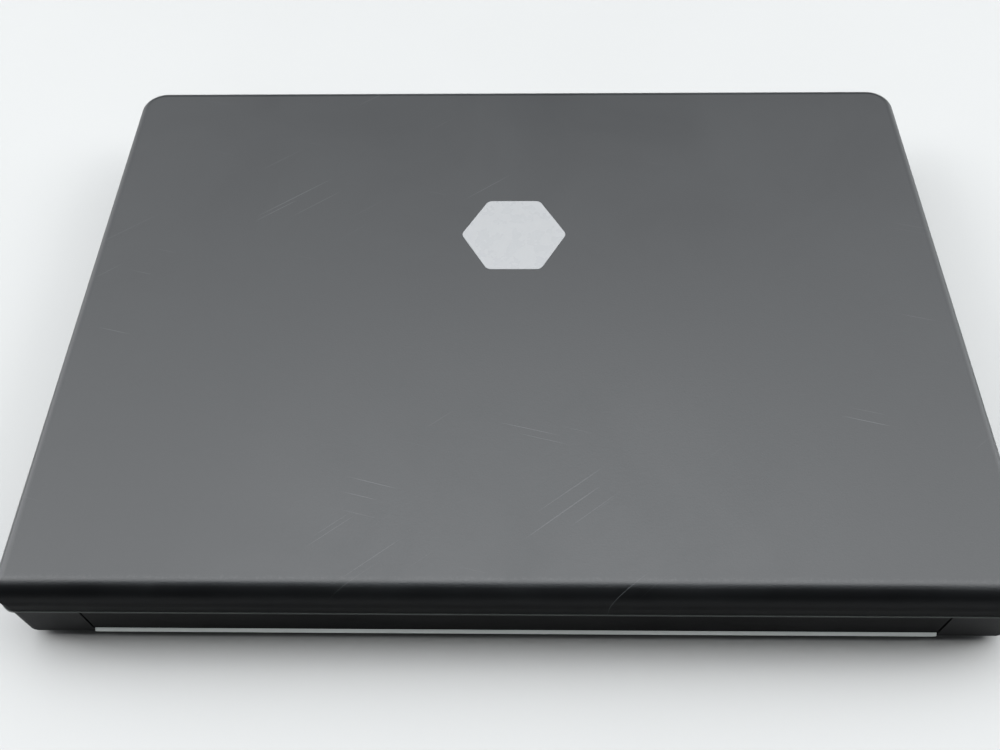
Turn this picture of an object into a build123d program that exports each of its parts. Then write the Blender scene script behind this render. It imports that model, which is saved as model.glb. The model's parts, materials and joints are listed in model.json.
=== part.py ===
from build123d import *
import os

os.makedirs("parts", exist_ok=True)

# A 15.4-inch class notebook computer, closed, standing on its feet.
# Millimetres. X to the user's right, Y to the hinge side, Z up, desk at Z = 0.

# ---- driving dimensions ----
LID_W, LID_D = 357.0, 257.0          # lid, plan
LID_R, LID_REAR_R = 11.5, 5.0        # lid, plan corner radius: front, hinge side
LID_Z0, LID_Z1 = 26.5, 39.5          # lid, underside and top
EDGE_R, ROLL_R = 4.5, 7.8            # lid top edge: sides and front, hinge side
LIP, LIP_H = 0.3, 0.8                # thin lip round the lid's lower edge
WALL = 2.0                           # lid and base walls
BASE_W = 353.0                       # base, plan
BASE_Y0, BASE_Y1 = -127.0, 127.4
BASE_R, BASE_REAR_R = 7.0, 4.0       # base, plan corner radius: front, hinge side
EAR_W, EAR_Y, EAR_R = 356.4, 119.3, 3.6    # rear corners that stand out to the lid's edge
FOOT_H = 2.5                         # rubber feet
FLOOR_Z = 4.7                        # inside of the base floor
SPLIT_Z, DECK_Z = 24.0, 26.0         # joint line of the base, palm rest surface
NOTCH_X, NOTCH_Y = 152.5, 112.0      # recess for the hinge cover
LEDGE_Z = 7.0                        # top of the ledge below the hinge cover
TRIM_Y = 124.0                       # front face of the trim strip along the ledge
TRIM_TABS = (-120, -40, 40, 120)     # tongues that hold the strip, across
AXIS_Y, AXIS_Z = 123.9, 17.0         # hinge axis
PIN_R, RUN = 1.75, 0.05              # hinge pin, running clearance
SLEEVE_R = 2.9                       # sleeve of the hinge arm, outside
ARM_X0, ARM_X1 = 135.0, 151.0        # sleeve and upright of the hinge arm, across
BRACKET_X = 154.8                    # inner face of the hinge bracket
KEY_PITCH = 19.0
KEY_W, KEY_Y0 = 300.0, -21.0         # keyboard width, front edge
KEY_TOP, KEY_H = 25.8, 2.2           # key caps
SCREW_R = 1.25

# case screws: plan positions
CASE_SCREWS = [(-168, -118), (36, -118), (169, -118), (-168, -54), (169, -56),
               (-100, 104), (0, 104), (96, 104), (157, 96)]
TALL_POST = (36, -118)               # its post is tall, to keep clear of the audio sockets
# cover screws: two for the memory cover, two for the hard drive cover
COVER_SCREWS = [(-57, 28), (13, 28), (46.5, -100), (46.5, -60)]
FEET = [(-155, -102), (162, -102), (-160, 107), (160, 108), (14, -96)]


# ---- small helpers ----
def joint_z(spot):
    """Height at which a screw post meets the boss above it."""
    return 17.0 if spot == TALL_POST else 10.0


def screw_tip(spot):
    return joint_z(spot) + (5.5 if spot == TALL_POST else 7.0)


def boss(spot):
    """Round boss that takes the end of a case screw, with its blind hole."""
    x, y = spot
    low, tip = joint_z(spot), screw_tip(spot)
    return rod(x, y, low + 0.1, SPLIT_Z + 0.5, 3.0) - rod(x, y, low, tip + 1, SCREW_R)


def box(x0, x1, y0, y1, z0, z1):
    return Pos((x0 + x1) / 2, (y0 + y1) / 2, (z0 + z1) / 2) * Box(x1 - x0, y1 - y0, z1 - z0)


def slab(x0, x1, y0, y1, z0, z1, r):
    plan = Pos((x0 + x1) / 2, (y0 + y1) / 2, z0) * RectangleRounded(x1 - x0, y1 - y0, r)
    return extrude(plan, amount=z1 - z0)


def rod(x, y, z0, z1, r):
    return Pos(x, y, (z0 + z1) / 2) * Cylinder(r, z1 - z0)


def rod_x(x0, x1, y, z, r):
    return Pos((x0 + x1) / 2, y, z) * Rot(0, 90, 0) * Cylinder(r, x1 - x0)


def rod_y(x, y0, y1, z, r):
    return Pos(x, (y0 + y1) / 2, z) * Rot(90, 0, 0) * Cylinder(r, y1 - y0)


def along_x(points, x0, x1):
    """A closed outline of (y, z) points pushed from x0 to x1."""
    outline = Polyline(*[(x0, y, z) for y, z in points], close=True)
    return extrude(make_face(outline), amount=x1 - x0, dir=(1, 0, 0))


def edges_at(shape, z, tol=0.01):
    return shape.edges().filter_by(lambda e: abs(e.bounding_box().min.Z - z) < tol
                                   and abs(e.bounding_box().max.Z - z) < tol)


def save(name, *solids):
    shape = solids[0] if len(solids) == 1 else Compound(children=list(solids))
    if len(shape.solids()) > 1 and len(solids) == 1:
        shape = Compound(children=list(shape.solids()))
    export_step(shape, f"parts/{name}.step")
    print(f"{name:24s} solids {len(shape.solids()):3d}  volume {shape.volume:10.1f}")


def taper_key(x0, x1, y0, y1, z0, z1, inset=1.5):
    """A key cap: a rounded block that narrows towards its top."""
    low = Pos((x0 + x1) / 2, (y0 + y1) / 2, z0) * RectangleRounded(x1 - x0, y1 - y0, 1.2)
    mid = Pos((x0 + x1) / 2, (y0 + y1) / 2, z0 + 0.6) * RectangleRounded(x1 - x0, y1 - y0, 1.2)
    top = Pos((x0 + x1) / 2, (y0 + y1) / 2, z1) * RectangleRounded(
        x1 - x0 - 2 * inset, y1 - y0 - 2 * inset, 1.2)
    foot = extrude(low, amount=0.6)
    return foot + loft([mid.face(), top.face()])


# ---- display ----
def plan_block(width, y0, y1, front_r, rear_r, z0, z1):
    """A flat box whose upright edges are rounder at the front than at the hinge side."""
    body = box(-width / 2, width / 2, y0, y1, z0, z1)
    for radius, y in ((front_r, y0), (rear_r, y1)):
        upright = body.edges().filter_by(Axis.Z).filter_by(
            lambda e: abs(e.center().X) > width / 2 - 0.01 and abs(e.center().Y - y) < 0.01)
        body = fillet(upright, radius)
    return body


def lid_plan(width, depth, front_r, rear_r, z0, z1):
    return plan_block(width, -depth / 2, depth / 2, front_r, rear_r, z0, z1)


def rolled(width, depth, front_r, rear_r, z0, z1, edge_r, roll_r):
    """A flat box with a rounded top edge, rounder along the hinge side."""
    body = lid_plan(width, depth, front_r, rear_r, z0, z1)
    body = fillet(edges_at(body, z1), edge_r)
    bar = box(-width, width, -depth, depth / 2, z0 - 1, z1)
    rear = bar.edges().filter_by(Axis.X).sort_by(lambda e: e.center().Y + e.center().Z)[-1]
    return body & fillet(rear, roll_r)


def lid_cover():
    outer = rolled(LID_W, LID_D, LID_R, LID_REAR_R, LID_Z0, LID_Z1, EDGE_R, ROLL_R)
    inner = rolled(LID_W - 2 * WALL, LID_D - 2 * WALL, LID_R - WALL, LID_REAR_R - WALL,
                   LID_Z0 - 2, LID_Z1 - 1.8, EDGE_R - WALL, ROLL_R - WALL)
    cover = outer - inner
    lip = lid_plan(LID_W + 2 * LIP, LID_D + 2 * LIP, LID_R + LIP, LID_REAR_R + LIP,
                   LID_Z0, LID_Z0 + LIP_H)
    cover += lip - lid_plan(LID_W - 2, LID_D - 2, LID_R - 1, LID_REAR_R - 1, LID_Z0 - 1, LID_Z0 + 2)
    # pocket for the badge, slot for the latch tab
    cover -= rod_hex(39.0, LID_Z1 - 0.8, LID_Z1 + 1)
    cover -= box(-13, 16, -129, -126, 28.8, 31.6)
    # screw posts for the bezel
    for x, y in BEZEL_POSTS:
        post = rod(x, y, 28.6, LID_Z1 - 1.5, 2.2) - rod(x, y, 27, 35, 0.9)
        cover += post
    return cover


BADGE_Y = -35.5
BEZEL_POSTS = [(-120, -122.8), (120, -122.8), (-100, 121), (100, 121)]


def rod_hex(across, z0, z1):
    """A flat hexagon with rounded corners, pushed up from z0 to z1."""
    plan = Pos(0, BADGE_Y, z0) * RegularPolygon(across / 2, 6, major_radius=False)
    body = extrude(plan, amount=z1 - z0)
    return fillet(body.edges().filter_by(Axis.Z), 3)


def lid_badge():
    return rod_hex(38.8, LID_Z1 - 0.8, LID_Z1 - 0.02)


def display_bezel():
    plate = lid_plan(352.6, 252.6, LID_R - 2.2, LID_REAR_R - 2.2, LID_Z0, 28.5)
    plate -= slab(-166.5, 166.5, -112, 97, LID_Z0 - 1, 30, 1.5)
    for side in (-1, 1):
        x0, x1 = sorted((side * 45, side * 58))
        plate -= box(x0, x1, -124, -120.4, 26, 29)
        x0, x1 = sorted((side * (ARM_X0 - 0.2), side * (ARM_X1 + 0.2)))
        plate -= box(x0, x1, 122.5, 125.3, 26, 29)
    for x, y in BEZEL_POSTS:
        plate -= rod(x, y, 26, 29, 1.3) + rod(x, y, 26, 27.4, 2.2)
    return plate


def bezel_screws():
    return [rod(x, y, 26.9, 27.4, 2.0) + rod(x, y, 27.4, 33, 0.85) for x, y in BEZEL_POSTS]


def lcd_frame():
    frame = box(-172, 172, -119.5, 102.5, 28.6, 35.2)
    return frame - box(-167.5, 167.5, -113, 98, 28, 30.2)


def lcd_screen():
    return box(-167.3, 167.3, -112.8, 97.8, 28.8, 30.1)


def inverter_board():
    board = box(-66, 66, 105, 117, 30, 31.2)
    for x in (-58, -20, 16, 48):
        board += box(x, x + 9, 107, 115, 31.2, 34.5)
    board += box(-64, -56, 108, 114, 28.8, 30)
    return board


def hinge_cover():
    """The deep rear rail of the display, turning inside the notch of the base."""
    x1 = NOTCH_X - 0.7
    rail = box(-x1, x1, 120.9, 127.4, 8.6, LID_Z0)
    barrel = rod_x(-x1, x1, AXIS_Y, AXIS_Z, 9.2) & box(-x1, x1, 100, 127.4, 0, LID_Z0)
    rail = rail + barrel
    for side in (-1, 1):
        x0, xe = sorted((side * (ARM_X0 - 0.2), side * NOTCH_X))
        rail -= rod_x(x0, xe, AXIS_Y, AXIS_Z, SLEEVE_R + 0.05)
        x0, xe = sorted((side * (ARM_X0 - 0.2), side * (ARM_X1 + 0.2)))
        rail -= box(x0, xe, 122.5, 125.3, 17, 27)
    return rail


def hinge_arm(side):
    """Steel arm: a sleeve on the pin, an upright, and a strip along the side of the screen."""
    def sbox(a, b, *rest):
        x0, x1 = sorted((side * a, side * b))
        return box(x0, x1, *rest)
    x0, x1 = sorted((side * ARM_X0, side * ARM_X1))
    arm = rod_x(x0, x1, AXIS_Y, AXIS_Z, SLEEVE_R)
    arm += sbox(ARM_X0, ARM_X1, 122.6, 125.2, AXIS_Z, 31.2)
    arm += sbox(ARM_X0, ARM_X1, 112, 125.2, 28.6, 31.2)
    arm += sbox(ARM_X1, 175.6, 112, 116, 28.6, 31.2)
    arm += sbox(172.6, 175.6, -60, 116, 28.6, 34)
    x0, x1 = sorted((side * (ARM_X0 - 1), side * (ARM_X1 + 1)))
    return arm - rod_x(x0, x1, AXIS_Y, AXIS_Z, PIN_R + RUN)


def lid_latch():
    bar = box(-60, 60, -124.4, -121.6, 28.7, 31.4)
    bar += box(-8, 8, -128.2, -124.4, 29.0, 31.4)
    for x in (-51.5, 51.5):
        bar += box(x - 3, x + 3, -123.2, -121.6, 22.4, 28.7)
        bar += box(x - 3, x + 5, -123.2, -121.6, 22.4, 23.6)
    return bar


def lid_bumpers():
    spots = [(-168, -118), (168, -118), (-170, 60), (170, 60)]
    return [rod(x, y, 26.08, LID_Z0, 2.8) for x, y in spots]


# ---- base shells ----
def round_block(block, z0, z1, low_r, top_r):
    if low_r:
        block = fillet(edges_at(block, z0), low_r)
    return fillet(edges_at(block, z1), top_r) if top_r else block


def base_block(inset, z0, z1, low_r=0.0, top_r=0.0):
    body = plan_block(BASE_W - 2 * inset, BASE_Y0 + inset, BASE_Y1 - inset, BASE_R - inset,
                      BASE_REAR_R - inset, z0, z1)
    return round_block(body, z0, z1, low_r, top_r)


def corner_ears(z0, z1, low_r, top_r):
    """Block across the rear of the base, wide enough to reach the lid's edge at both ends."""
    block = plan_block(EAR_W, EAR_Y, BASE_Y1, EAR_R, BASE_REAR_R, z0, z1)
    return round_block(block, z0, z1, low_r, top_r)


def bottom_case():
    shell = base_block(0, FOOT_H, SPLIT_Z, 3.4) + corner_ears(FOOT_H, SPLIT_Z, 3.4, 0.0)
    hollow = base_block(WALL, FLOOR_Z, SPLIT_Z + 1, 1.4)
    hollow -= box(-NOTCH_X - WALL, NOTCH_X + WALL, NOTCH_Y - WALL, 140, 0, 30)
    shell -= hollow
    shell -= box(-NOTCH_X, NOTCH_X, NOTCH_Y, 140, 0, 30)
    shell += box(-NOTCH_X, NOTCH_X, NOTCH_Y, TRIM_Y, FOOT_H, LEDGE_Z)
    for x in TRIM_TABS:
        shell -= box(x - 6.1, x + 6.1, TRIM_Y - 1.6, TRIM_Y + 0.1, 3.9, 5.1)
    # battery bay: walls and ceiling inside, open below
    shell += box(-141.6, -18.5, -121.6, -52.4, 3.0, 21.6)
    shell -= slab(-140.3, -19.7, -120.3, -53.7, 2, 20.3, 1.8)
    shell -= box(-98, -82, -53.8, -52, 4.4, 7.3)
    # battery latch: slot in the floor, rails for the slider
    shell -= box(-97, -83, -50.4, -40, 2, 5)
    # memory cover and hard drive cover: rebate and opening
    for x0, x1, y0, y1 in ((-62, 18, -46, 34), (43, 153, -121, -47)):
        shell -= slab(x0, x1, y0, y1, 2, 3.9, 2)
        shell -= slab(x0 + 2, x1 - 2, y0 + 2, y1 - 2, 2, 6, 1)
    for x, y in COVER_SCREWS:
        shell += rod(x, y, 3.9, 9.0, 3.4)
    # posts for the board
    for x, y in BOARD_POSTS:
        shell += rod(x, y, FLOOR_Z - 0.2, 11.0, 3.0)
    # posts for the case screws
    for x, y in CASE_SCREWS:
        top = joint_z((x, y))
        shell += rod(x, y, FLOOR_Z - 0.2, top, 3.4)
        shell -= rod(x, y, 0, top + 1, 1.6) + rod(x, y, 0, 3.7, 3.2)
    for x, y in COVER_SCREWS:
        shell -= rod(x, y, 3, 10, SCREW_R)
    # air slots below the fan and the memory, outlet slots in the left wall
    for i in range(7):
        y = 64 + 6 * i
        shell -= slab(-150, -112, y, y + 2.4, 2, 5, 1.1)
    for i in range(9):
        y = 62.5 + 5 * i
        shell -= box(-178, -174, y, y + 3.2, 7.5, 16)
    # side and front openings
    shell -= box(-178, -170, -47.3, 6.3, 13.7, 19.3)           # card slot
    shell -= box(-178, -170, 8.8, 20.2, 6.8, 18.2)             # modem socket
    shell -= box(-178, -170, 21.8, 38.2, 6.8, 19.7)            # network socket
    shell -= box(-178, -170, 40.8, 55.2, 6.3, 21.2)            # usb sockets
    shell -= rod_x(-178, -170, 115, 13, 4.1)                   # power socket
    shell -= box(170, 178, -50.2, 77.2, 5.2, 18.2)             # optical drive
    shell -= box(170, 178, 79.8, 111.2, 6.8, 19.4)             # monitor socket
    shell -= slab_x(170, 178, 112.2, 119.2, 11.5, 14.5, 1.2)   # lock slot
    for x in (2, 16):
        shell -= rod_y(x, -130, -120, 13, 3.2)                 # audio jacks
    shell -= box(28, 42, -130, -124, 11.4, 14.6)               # wireless switch
    for x in STATUS_X:
        shell -= rod_y(x, -130, -124, 16, 0.9)
    # hinge pins pass the end walls of the notch; room for the brackets
    for side in (-1, 1):
        x0, x1 = sorted((side * (NOTCH_X - 1), side * (NOTCH_X + WALL + 1)))
        shell -= rod_x(x0, x1, AXIS_Y, AXIS_Z, PIN_R + 0.25)
        x0, x1 = sorted((side * (NOTCH_X + WALL - 0.1), side * (BRACKET_X + 3.5)))
        shell -= box(x0, x1, 118, 125.7, 5.3, 24)
    return shell


def slab_x(x0, x1, y0, y1, z0, z1, r):
    plan = Plane.YZ.offset(x0) * Pos((y0 + y1) / 2, (z0 + z1) / 2) * RectangleRounded(
        y1 - y0, z1 - z0, r)
    return extrude(plan, amount=x1 - x0)


BOARD_POSTS = [(-150, -20), (-100, -44), (36, -44), (36, 70), (-104, 66), (-20, 92)]
STATUS_X = [-15.0, -10.5, -6.0]


def rear_trim():
    """Pale strip that closes the ledge below the hinge cover, leaning in towards the desk."""
    end = NOTCH_X - 0.05
    front = TRIM_Y + 0.02
    outline = [(front, FOOT_H), (125.4, 1.2), (126.3, 1.2), (127.9, 5.9), (126.6, 7.5),
               (front, LEDGE_Z)]
    strip = along_x(outline, -end, end)
    for x in TRIM_TABS:
        strip += box(x - 6, x + 6, TRIM_Y - 1.5, TRIM_Y + 0.5, 4.0, 5.0)
    return strip


def top_case():
    deck = base_block(0, SPLIT_Z, DECK_Z, 0.0, 1.4) + corner_ears(SPLIT_Z, DECK_Z, 0.0, 1.4)
    deck -= box(-NOTCH_X, NOTCH_X, 87, 140, 20, 30)
    deck -= slab(-151, 151, -22, 85, 20, 30, 1.5)
    deck -= slab(-51, 27, -104, -58, 20, 30, 2)
    deck -= slab(-51, 27, -117.4, -105.2, 20, 30, 2)
    for x in (-51.5, 51.5):
        deck -= box(x - 5, x + 7, -125, -119.8, 20, 30)
    for x, y in CASE_SCREWS:
        if abs(x) < NOTCH_X and y > 87:
            continue
        deck += boss((x, y))
    return deck


def switch_cover():
    cover = slab(-NOTCH_X + 0.3, NOTCH_X - 0.3, 87.3, NOTCH_Y, SPLIT_Z, DECK_Z, 1.5)
    for side in (-1, 1):
        for i in range(9):
            x = side * (110 + 4.2 * i) - 0.8
            cover -= slab(x, x + 1.6, 92, 106, 23, 27, 0.7)
    cover -= rod(-80, 99, 23, 27, 6.2)
    cover -= slab(54.8, 65.2, 96, 102, 23, 27, 2)
    cover -= slab(67.6, 88.4, 95.8, 102.2, 23, 27, 2)
    for x, y in CASE_SCREWS:
        if abs(x) < NOTCH_X and y > 87:
            cover += boss((x, y))
    return cover


# ---- keyboard ----
ROW_D = 18.6
FUNC_D = 12.0


def row_y(index):
    """Front and back edge of a row; 0 is the bottom row, 5 the function row."""
    y0 = KEY_Y0 + ROW_D * index
    return y0, y0 + (FUNC_D if index == 5 else ROW_D)


def key_row(index, widths, skip=()):
    y0, y1 = row_y(index)
    x = -KEY_W / 2
    keys = []
    for i, w in enumerate(widths):
        if i not in skip:
            keys.append(taper_key(x + 0.5, x + w - 0.5, y0 + 0.5, y1 - 0.5,
                                  KEY_TOP - KEY_H, KEY_TOP, 1.5 if index < 5 else 1.1))
        x += w
    return keys


P = KEY_PITCH
ROWS = {
    "function_keys": (5, [KEY_W / 17] * 17),
    "number_keys": (4, [P] * 13 + [34, P]),
    "upper_letter_keys": (3, [28.5] + [P] * 12 + [24.5, P]),
    "home_letter_keys": (2, [33.25] + [P] * 11 + [38.75, P]),
    "lower_letter_keys": (1, [42.75] + [P] * 10 + [29.25, P, P]),
    "bottom_keys": (0, [24] + [P] * 3 + [105] + [P] * 6),
}


def keyboard_plate():
    tray = slab(-152.6, 152.6, -23.6, 86.6, 20.2, 23.95, 2)
    tray -= slab(-150.6, 150.6, -21.6, 84.6, 21.4, 25, 1)
    return tray


def flanged_button(x0, x1, y0, y1, z0, z1, r, lip=1.4):
    """A button with a wider foot that keeps it below the deck."""
    head = slab(x0, x1, y0, y1, z0, z1, r)
    return head + slab(x0 - lip, x1 + lip, y0 - lip, y1 + lip, z0 - 0.9, z0 + 0.6, r)


def click_button(x0, x1):
    return flanged_button(x0, x1, -117.1, -105.5, 23.2, 25.8, 1.6, 1.0)


def volume_rocker():
    """One cap for louder and softer, rocking about a pin along Y at its middle."""
    rocker = slab(68.0, 88.0, 96.2, 101.8, 23.4, 25.9, 1.8)
    return rocker + rod_y(78, 94.6, 103.4, 22.6, 1.4) + box(77, 79, 96.2, 101.8, 22.6, 23.6)


def touchpad():
    pad = slab(-50.8, 26.8, -103.8, -58.2, 23.9, 25.6, 1.8)
    return pad + slab(-54, 30, -103.8, -55, 22.5, 23.95, 1.8)


# ---- base contents ----
def system_board():
    board = box(-157, 42, -48, 108, 11.0, 12.6)
    board -= box(-170, -110, 56.5, 120, 10, 14)
    board -= box(-158, -156, -50, 60, 10, 14)
    for x, y in CASE_SCREWS:
        board -= rod(x, y, 10, 14, 4.2)
    for x0, x1, y0, y1, h in ((-22, 14, 30, 66, 3.0), (-88, -60, 4, 32, 2.4), (-30, 2, -30, -4, 2.0),
                              (10, 34, -44, -30, 4.0), (-96, -40, 88, 100, 5.0), (14, 38, 78, 84, 5.0)):
        board += box(x0, x1, y0, y1, 12.5, 12.6 + h)
    # the memory socket, soldered below the board, with a slot for each module
    board += box(-58, 16, -12, -5, 5.6, 11.1)
    return board - box(-54.2, 14.0, -13, -9, 9.55, 10.65) - box(-54.2, 14.0, -13, -9, 6.75, 7.85)


def processor():
    return box(-75, -40, 45, 80, 12.6, 13.8) + box(-64, -51, 56, 69, 13.7, 15.0)


def heat_sink():
    plate = box(-84, -31, 38, 88, 15.0, 16.5)
    pipe = box(-173, -40, 60, 68, 16.5, 19.4) + box(-173, -164, 60, 108, 16.5, 19.4)
    sink = plate + pipe
    sink += box(-173, -162.5, 60, 108, 6.0, 6.8) + box(-173, -162.5, 60, 108, 15.7, 16.5)
    for i in range(17):
        y = 60 + 2.95 * i
        sink += box(-173, -162.5, y, y + 0.7, 6.4, 16.2)
    return sink


FAN_X, FAN_Y, FAN_R = -136.0, 84.0, 20.0


def fan_housing():
    body = slab(-161.5, -111.5, 60, 108, 6.0, 16.3, 3)
    body -= rod(FAN_X, FAN_Y, 7.0, 15.4, FAN_R + 2)
    body -= box(-163, FAN_X, 62, 106, 7.0, 15.4)
    body -= rod(FAN_X, FAN_Y, 15, 17, 14.5)
    inlet = rod(FAN_X, FAN_Y, 5, 8, 15) - rod(FAN_X, FAN_Y, 4, 9, 8)
    for turn in (0, 120, 240):
        inlet -= Pos(FAN_X, FAN_Y, 6.5) * Rot(0, 0, turn) * Pos(12, 0, 0) * Box(20, 3.5, 6)
    body -= inlet
    return body + rod(FAN_X, FAN_Y, 6.5, 12.5, 1.5)


def fan_rotor():
    rotor = rod(FAN_X, FAN_Y, 7.5, 14.8, 9.0)
    for i in range(13):
        blade = Pos(13.8, 0, 0) * Rot(0, 0, 32) * Box(12.5, 1.0, 6.4)
        rotor += Pos(FAN_X, FAN_Y, 11.2) * Rot(0, 0, 360 / 13 * i) * blade
    rotor &= rod(FAN_X, FAN_Y, 7.5, 14.8, FAN_R)
    return rotor - rod(FAN_X, FAN_Y, 7, 13, 1.5 + RUN)


def memory_modules():
    modules = []
    for z in (9.6, 6.8):
        stick = box(-54, 13.6, -42, -9.2, z, z + 1.0)
        for i in range(4):
            x = -49 + 15.5 * i
            stick += box(x, x + 11, -38, -20, z - 0.9, z + 0.01)
        modules.append(stick)
    return modules


def wireless_card():
    card = box(-50, 0, -1, 29, 8.8, 9.8) + box(-44, -10, 3, 25, 6.9, 8.8)
    return card + box(-50, -44, 3, 25, 9.8, 11.0)


def hard_drive():
    body = slab(50.2, 150.2, -121, -51.2, 5.0, 14.5, 1.5)
    body -= box(52, 148, -119, -53, 13.9, 15)
    body += rod(118, -86, 13.5, 14.5, 26) + box(64, 82, -106, -68, 13.5, 14.3)
    return body


def drive_shell():
    shell = box(47, 174.3, -50, 77, 5.4, 18.0)
    return shell - box(47.8, 176, -49.2, 76.2, 6.2, 17.2)


TRAY_X, TRAY_Y = 112.0, 13.5


def optical_tray():
    tray = box(50, 174.8, -48.5, 75.5, 9.0, 13.0)
    tray += slab_x(174.6, 176.3, -49.9, 76.9, 5.5, 17.9, 1.0)
    tray -= rod(TRAY_X, TRAY_Y, 12.0, 14, 60.6)
    tray -= rod(TRAY_X, TRAY_Y, 10.8, 14, 14.0)
    tray -= rod(TRAY_X, TRAY_Y, 8, 12, 1.5 + RUN)
    tray -= slab(TRAY_X - 48, TRAY_X - 16, TRAY_Y - 9, TRAY_Y + 9, 8, 14, 2)
    tray -= box(171.4, 174.6, 53, 69, 8, 15)
    tray -= box(174, 177, 56.4, 65.6, 10.2, 13.4)
    return tray


def disc_spindle():
    hub = rod(TRAY_X, TRAY_Y, 11.0, 13.4, 11.5) + rod(TRAY_X, TRAY_Y, 13.4, 15.2, 7.4)
    for turn in (0, 120, 240):
        hub += Pos(TRAY_X, TRAY_Y, 14.5) * Rot(0, 0, turn) * Pos(6.4, 0, 0) * Box(2.4, 2.4, 1.0)
    return hub + rod(TRAY_X, TRAY_Y, 9.2, 11.2, 1.5)


def eject_button():
    return box(172.8, 176.25, 56.7, 65.3, 10.5, 13.1) + box(172.8, 174.2, 54.6, 67.4, 9.6, 14.2)


def card_cage():
    cage = box(-173.9, -98, -48, 7, 13.0, 20.0)
    return cage - box(-175, -98.8, -47.3, 6.3, 13.7, 19.3)


def card_blank():
    card = slab(-176.3, -101, -46.9, 5.9, 14.0, 19.0, 0.8)
    return card - slab(-178, -174.9, -26, -15, 13, 20, 0.5)


def jack_socket(x0, x1, y0, y1, z0, z1, wy, wz, depth):
    """A socket housing in the left wall with a rectangular mouth facing -X."""
    yc, zc = (y0 + y1) / 2, (z0 + z1) / 2
    body = box(x0, x1, y0, y1, z0, z1)
    return body - box(x0 - 1, x0 + depth, yc - wy / 2, yc + wy / 2, zc - wz / 2, zc + wz / 2)


def modem_socket():
    body = jack_socket(-176.2, -159, 9, 20, 7, 18, 9.8, 7.0, 12.5)
    return body - box(-177.2, -163.7, 13, 16, 8.0, 9.1)


def network_socket():
    body = jack_socket(-176.2, -159, 22, 38, 7, 19.5, 11.8, 8.2, 12.5)
    return body - box(-177.2, -163.7, 27, 33, 7.9, 9.3)


def usb_sockets():
    body = box(-176.2, -160, 41, 55, 6.5, 21.0)
    for z in (10.2, 17.2):
        body -= box(-177, -163, 41.8, 54.2, z - 2.4, z + 2.4)
        body += box(-174.6, -162.5, 43, 53, z + 0.2, z + 2.0)
    return body


def monitor_socket():
    body = box(163, 175.0, 80, 111, 7, 19.2)
    nose = slab_x(175.0, 176.2, 87.2, 103.8, 9.0, 17.2, 2.0)
    body += nose
    for row, z in enumerate((10.9, 13.1, 15.3)):
        for i in range(5):
            y = 90.9 + 2.29 * i + (0.6 if row == 1 else 0)
            body -= rod_x(170, 177, y, z, 0.55)
    for y in (83.0, 108.0):
        body -= rod_x(166, 177, y, 13.1, 1.4)
    return body


def power_socket():
    body = box(-174.4, -162, 110.8, 119.2, 8, 18) + rod_x(-176.2, -172, 115, 13, 3.9)
    body -= rod_x(-178, -165, 115, 13, 2.75)
    return body + rod_x(-174.8, -164, 115, 13, 0.8)


def lock_plate():
    plate = box(172.6, 174.4, 111.6, 119.3, 8, 18)
    return plate - slab_x(170, 178, 112.2, 119.2, 11.5, 14.5, 1.2)


def audio_jacks():
    jacks = []
    for x in (2, 16):
        body = box(x - 5, x + 5, -124.8, -111, 8.5, 17.5) + rod_y(x, -126.8, -124, 13, 3.0)
        jacks.append(body - rod_y(x, -128, -113, 13, 1.8))
    return jacks


def wireless_switch():
    knob = box(31, 36, -127.8, -123.4, 11.8, 14.2)
    return knob + box(27, 40, -124.7, -122.6, 10.6, 15.4)


def status_lights():
    return [rod_y(x, -126.9, -122.5, 16, 0.85) for x in STATUS_X]


def speakers():
    units = []
    for side in (-1, 1):
        x0, x1 = sorted((side * 106, side * 148))
        body = slab(x0, x1, 89, 109, 17.2, 23.9, 3)
        body -= rod((x0 + x1) / 2, 99, 22.4, 25, 7.5)
        units.append(body)
    return units


def hinge_bracket(side):
    """Steel bracket in a rear corner of the base, with the pin the display turns on."""
    def sbox(a, b, *rest):
        x0, x1 = sorted((side * a, side * b))
        return box(x0, x1, *rest)
    bracket = sbox(BRACKET_X, BRACKET_X + 3.2, 114, 125.5, 5.4, 23.4)
    bracket += sbox(BRACKET_X, BRACKET_X + 6.4, 114, 120, 4.8, 6.6)
    x0, x1 = sorted((side * (ARM_X0 + 1), side * (BRACKET_X + 1)))
    return bracket + rod_x(x0, x1, AXIS_Y, AXIS_Z, PIN_R)


def battery_pack():
    pack = slab(-140, -20, -120, -54, FOOT_H, 20.0, 1.6)
    pack = fillet(edges_at(pack, 20.0), 0.8)
    pack -= box(-98.5, -81.5, -57, -53, 4.3, 21)
    pack -= slab(-100, -80, -66, -60, 2, 3.6, 2)
    return pack


def battery_latch():
    slider = box(-96.5, -83.5, -48.4, -44.2, 2.9, 5.6) + box(-96.5, -83.5, -55.6, -44.2, 4.9, 6.8)
    return slider - box(-93, -87, -47.2, -45.4, 2, 3.5)


def memory_cover():
    cover = slab(-61.8, 17.8, -45.8, 33.8, FOOT_H, 3.9, 1.8)
    for i in range(6):
        y = -38 + 6 * i
        cover -= slab(-44, 0, y, y + 2, 2, 5, 0.9)
    for x, y in COVER_SCREWS[:2]:
        cover -= rod(x, y, 2, 5, 1.5) + rod(x, y, 2, 3.2, 2.6)
    return cover


def hard_drive_cover():
    cover = slab(43.2, 152.8, -120.8, -47.2, FOOT_H, 3.9, 1.8)
    for x, y in COVER_SCREWS[2:]:
        cover -= rod(x, y, 2, 5, 1.5) + rod(x, y, 2, 3.2, 2.6)
    return cover


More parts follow.
